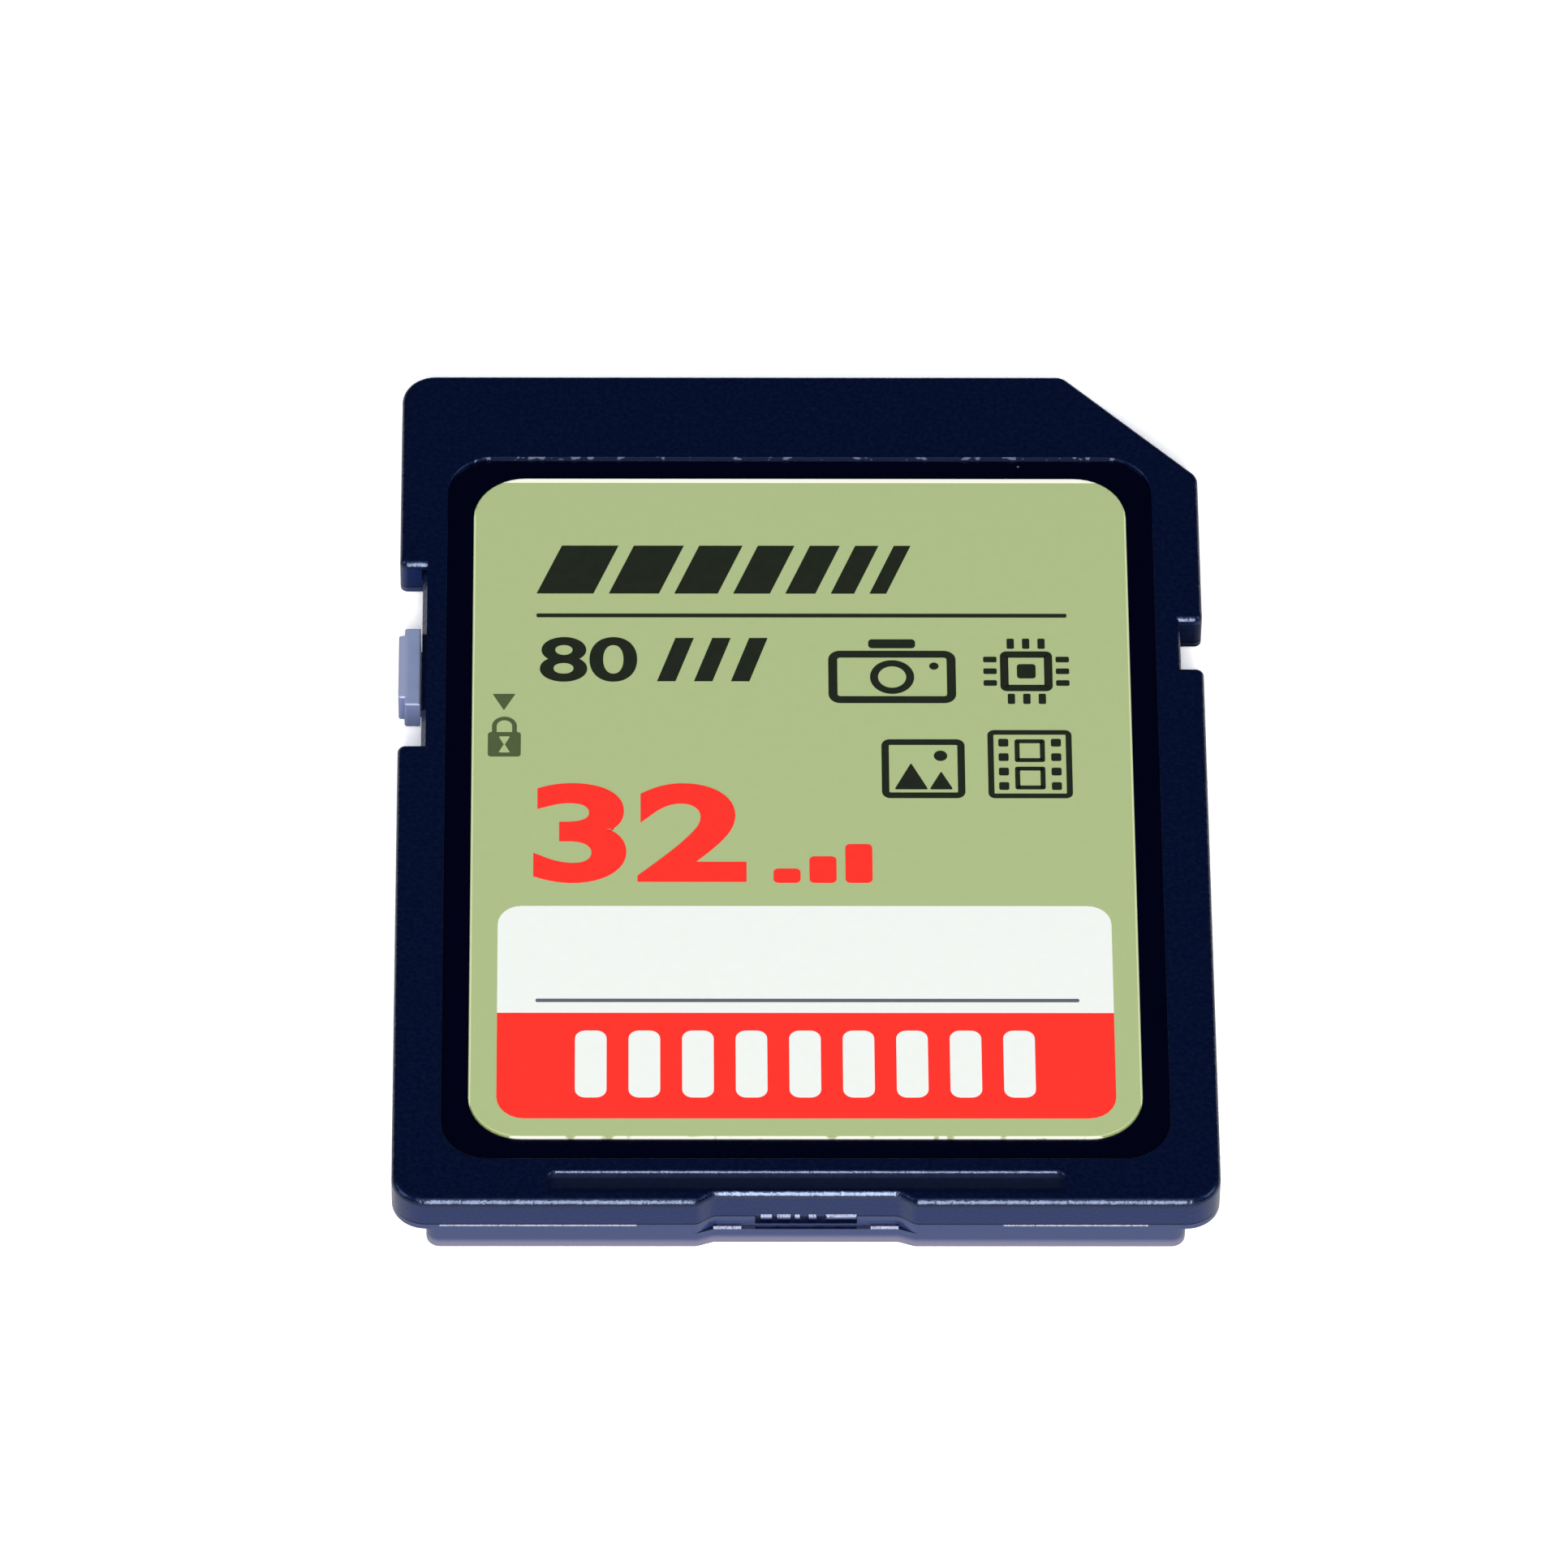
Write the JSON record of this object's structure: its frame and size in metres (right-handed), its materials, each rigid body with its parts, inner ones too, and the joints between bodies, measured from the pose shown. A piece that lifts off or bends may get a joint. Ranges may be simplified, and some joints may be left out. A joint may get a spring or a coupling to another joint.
{
  "type": "memory card",
  "caption": "Flat memory card with a cut corner, stepped side rails, a label recess, contact windows along its leading edge and a sliding write-protect tab.",
  "frame": {"origin": "middle of the back face, on which the card lies", "axes": "+X towards the cut corner's side, +Y towards the contact end, +Z out of the label face"},
  "size_m": [0.024, 0.032, 0.0021],
  "materials": {
    "shell_plastic": "fine moulded texture, satin",
    "slider_plastic": "satin",
    "label_film": "printed film, satin",
    "board_laminate": "solder mask",
    "gold_plating": "gold plated, satin",
    "chip_mould": "moulded epoxy",
    "capacitor_ceramic": "matt",
    "resistor_ceramic": "satin"
  },
  "bodies": {
    "card": {"front_shell": "shell_plastic", "back_shell": "shell_plastic", "front_label": "label_film", "circuit_board": "board_laminate", "contact_1": "gold_plating", "contact_2": "gold_plating", "contact_3": "gold_plating", "contact_4": "gold_plating", "contact_5": "gold_plating", "contact_6": "gold_plating", "contact_7": "gold_plating", "contact_8": "gold_plating", "contact_9": "gold_plating", "flash_chip": "chip_mould", "controller_chip": "chip_mould", "capacitor_1": "capacitor_ceramic", "capacitor_2": "capacitor_ceramic", "capacitor_3": "capacitor_ceramic", "capacitor_4": "capacitor_ceramic", "capacitor_5": "capacitor_ceramic", "capacitor_6": "capacitor_ceramic", "resistor_1": "resistor_ceramic", "resistor_2": "resistor_ceramic", "resistor_3": "resistor_ceramic", "resistor_4": "resistor_ceramic", "resistor_5": "resistor_ceramic"},
    "slider": {"lock_slider": "slider_plastic"}
  },
  "joints": [
    {"name": "lock_slide", "type": "slide", "parent": "card", "child": "slider", "axis": [0, 1, 0], "range_m": [-0.00165, 0.00225]}
  ]
}
